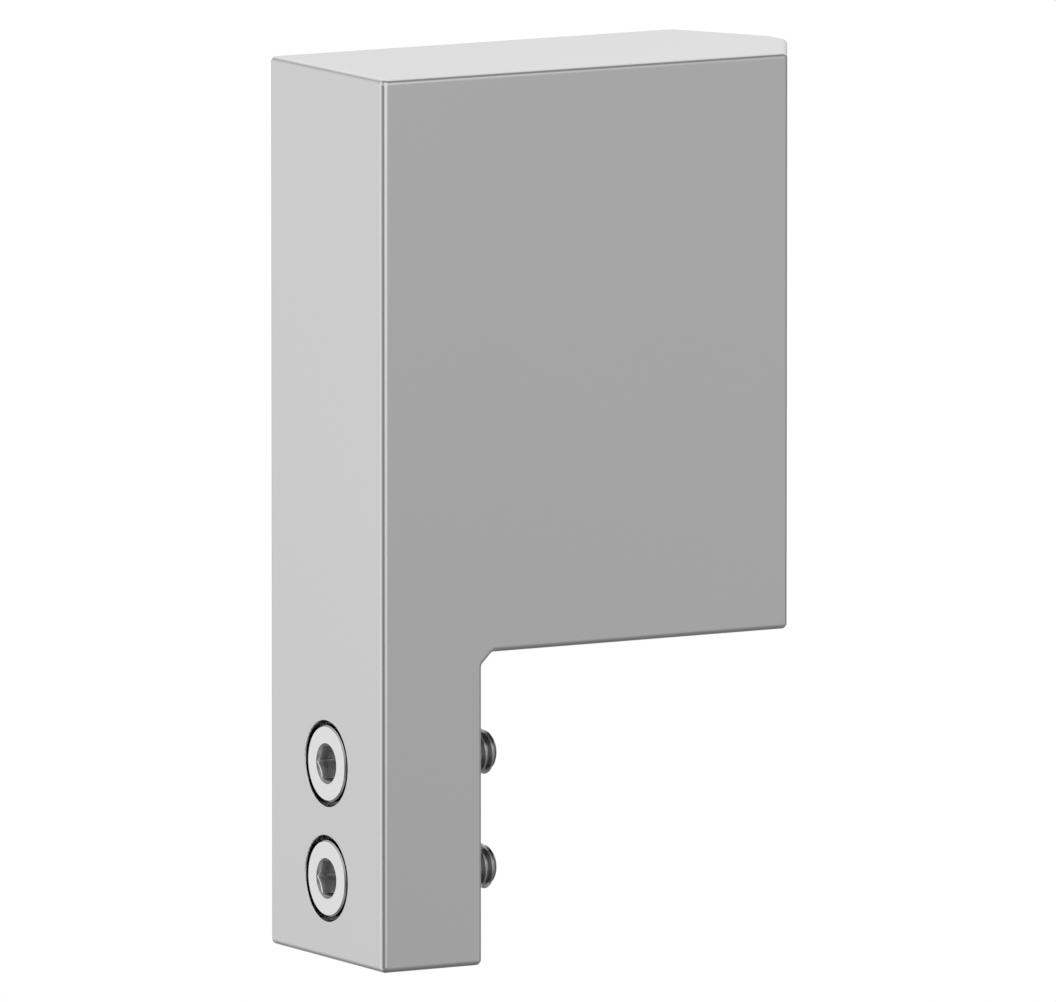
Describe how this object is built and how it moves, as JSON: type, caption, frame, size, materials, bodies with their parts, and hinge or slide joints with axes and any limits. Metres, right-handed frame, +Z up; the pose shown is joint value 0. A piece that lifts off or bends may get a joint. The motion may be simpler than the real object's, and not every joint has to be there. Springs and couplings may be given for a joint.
{
  "type": "gripper finger jaw",
  "caption": "L-shaped aluminium finger for a three-finger centring gripper, with a pointed nose on its block and socket screws through its bored leg.",
  "frame": {"origin": "middle of the two screw axes on the mounting face, which is the inner face of the leg", "axes": "+X out of the mounting face towards the gripper centre, +Z up along the leg to the block, +Y across the width"},
  "size_m": [0.0675, 0.03, 0.116],
  "materials": {
    "machined_aluminium": "satin, finely machined",
    "screw_steel": "bright plated"
  },
  "bodies": {
    "root": {"jaw_body": "machined_aluminium", "upper_mounting_screw": "screw_steel", "lower_mounting_screw": "screw_steel"}
  },
  "joints": []
}
